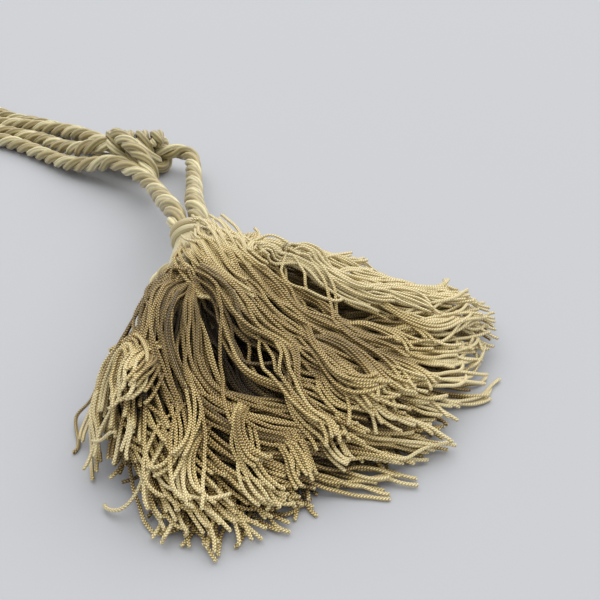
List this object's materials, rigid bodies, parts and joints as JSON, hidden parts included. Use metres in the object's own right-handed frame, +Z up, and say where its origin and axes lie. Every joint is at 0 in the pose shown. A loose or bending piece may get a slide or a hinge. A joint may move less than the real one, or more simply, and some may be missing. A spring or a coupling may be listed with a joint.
{
  "type": "curtain tieback tassel",
  "caption": "Tassel tieback lying on a table: a twisted rope knotted above the head, a satin-wrapped mould with a twisted cord round its base, and a skirt of knitted threads spread like a fan.",
  "frame": {"origin": "on the table under the middle of the tassel, that is of the skirt, the head and its collar, without the rope and its knot", "axes": "+Z up from the table the tieback lies on, +Y from the tips of the skirt towards its neck, +X towards the wide side of the fan; the rope runs from the neck to the knot at +Y and on towards -X"},
  "size_m": [0.5232, 0.4697, 0.0522],
  "materials": {
    "satin": "satin",
    "cream_band": "satin",
    "tan_band": "matte",
    "ring_cord": "satin",
    "threads": "satin",
    "rope": "satin"
  },
  "bodies": {
    "root": {"head_bell": "satin", "collar_cream": "cream_band", "collar_tan": "tan_band", "ring_cord": "ring_cord", "skirt": "threads", "knot": "rope", "rope_front_arm": "rope", "rope_right_neck": "rope", "rope_back_arm": "rope"}
  },
  "joints": []
}
